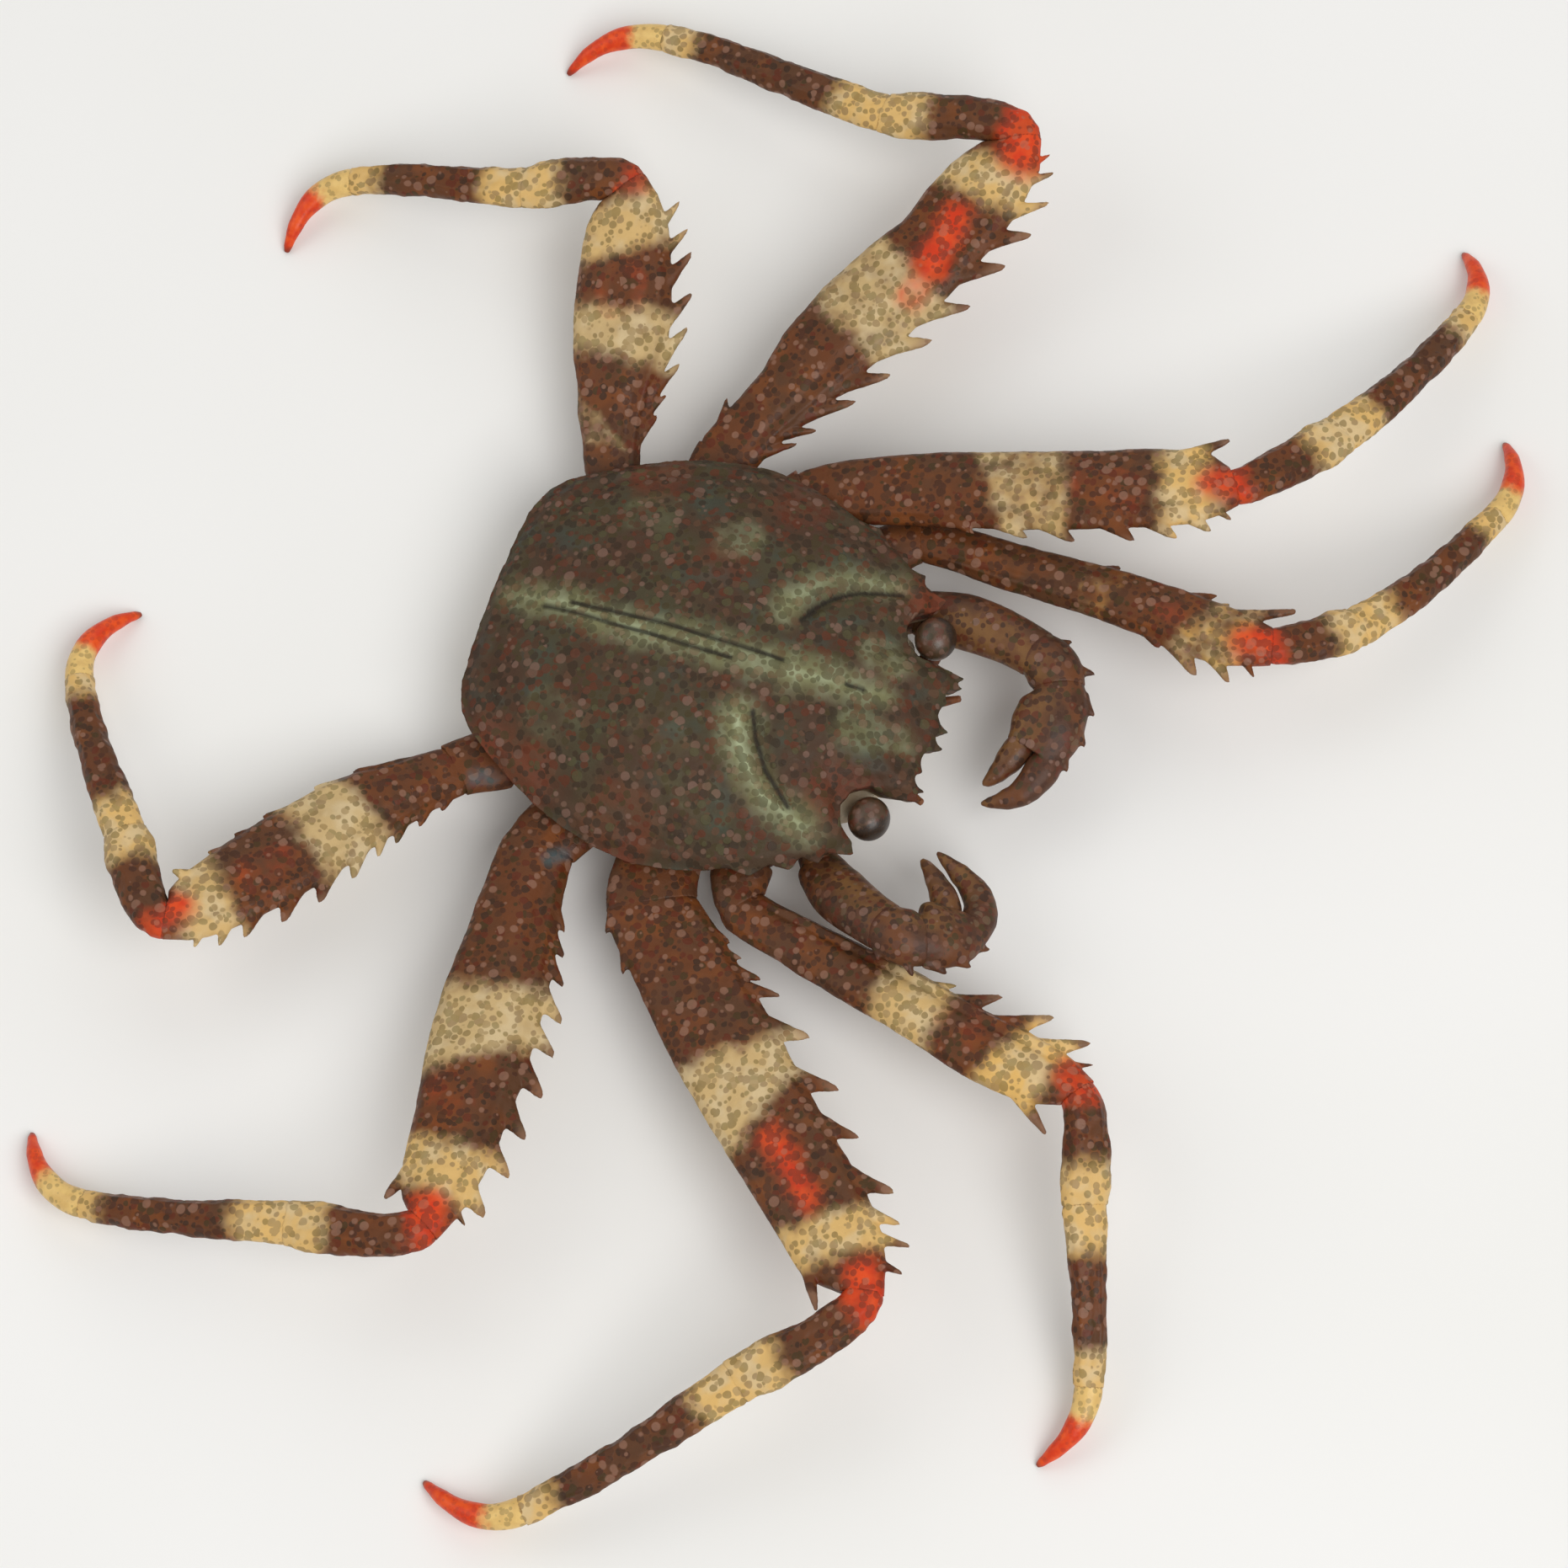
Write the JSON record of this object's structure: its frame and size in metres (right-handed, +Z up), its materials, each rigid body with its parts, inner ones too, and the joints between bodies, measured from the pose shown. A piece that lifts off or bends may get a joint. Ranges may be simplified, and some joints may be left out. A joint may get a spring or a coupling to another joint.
{
  "type": "percnon gibbesi crab model",
  "caption": "Life-size still model of a flat, spiny-legged shore crab: domed oval shield, long spread walking legs with spined edges and small pincers, standing on its claws.",
  "frame": {"origin": "under the middle of the whole crab's box, on the floor it stands on", "axes": "+Z up, -Y the way the head points, +X towards the crab's left"},
  "size_m": [0.1152, 0.0948, 0.0115],
  "materials": {
    "carapace": "dull dotted olive-brown shell with pale green lines",
    "leg": "semi-gloss red-brown and cream banded shell",
    "leg_claw": "smooth orange-red shell",
    "pincer": "semi-gloss brown shell",
    "pincer_tip": "smooth golden-brown shell",
    "underside": "dull pale shell",
    "eye": "brown shell over glossy near-black facets",
    "feeler": "dull brown shell"
  },
  "bodies": {
    "root": {"carapace": "carapace", "thorax": "underside", "abdomen": "underside", "mouth": "underside", "left_eye": "eye", "left_eyestalk": "feeler", "left_antenna": "feeler", "left_pincer_base": "pincer", "left_pincer_merus": "pincer", "left_pincer_carpus": "pincer", "left_pincer_palm": "pincer", "left_pincer_finger": "pincer_tip", "left_leg_2_coxa": "leg", "left_leg_2_merus": "leg", "left_leg_2_carpus": "leg", "left_leg_2_propodus": "leg", "left_leg_2_claw": "leg_claw", "left_leg_3_coxa": "leg", "left_leg_3_merus": "leg", "left_leg_3_carpus": "leg", "left_leg_3_propodus": "leg", "left_leg_3_claw": "leg_claw", "left_leg_4_coxa": "leg", "left_leg_4_merus": "leg", "left_leg_4_carpus": "leg", "left_leg_4_propodus": "leg", "left_leg_4_claw": "leg_claw", "left_leg_5_coxa": "leg", "left_leg_5_merus": "leg", "left_leg_5_carpus": "leg", "left_leg_5_propodus": "leg", "left_leg_5_claw": "leg_claw", "right_eye": "eye", "right_eyestalk": "feeler", "right_antenna": "feeler", "right_pincer_base": "pincer", "right_pincer_merus": "pincer", "right_pincer_carpus": "pincer", "right_pincer_palm": "pincer", "right_pincer_finger": "pincer_tip", "right_leg_2_coxa": "leg", "right_leg_2_merus": "leg", "right_leg_2_carpus": "leg", "right_leg_2_propodus": "leg", "right_leg_2_claw": "leg_claw", "right_leg_3_coxa": "leg", "right_leg_3_merus": "leg", "right_leg_3_carpus": "leg", "right_leg_3_propodus": "leg", "right_leg_3_claw": "leg_claw", "right_leg_4_coxa": "leg", "right_leg_4_merus": "leg", "right_leg_4_carpus": "leg", "right_leg_4_propodus": "leg", "right_leg_4_claw": "leg_claw", "right_leg_5_coxa": "leg", "right_leg_5_merus": "leg", "right_leg_5_carpus": "leg", "right_leg_5_propodus": "leg", "right_leg_5_claw": "leg_claw"}
  },
  "joints": []
}
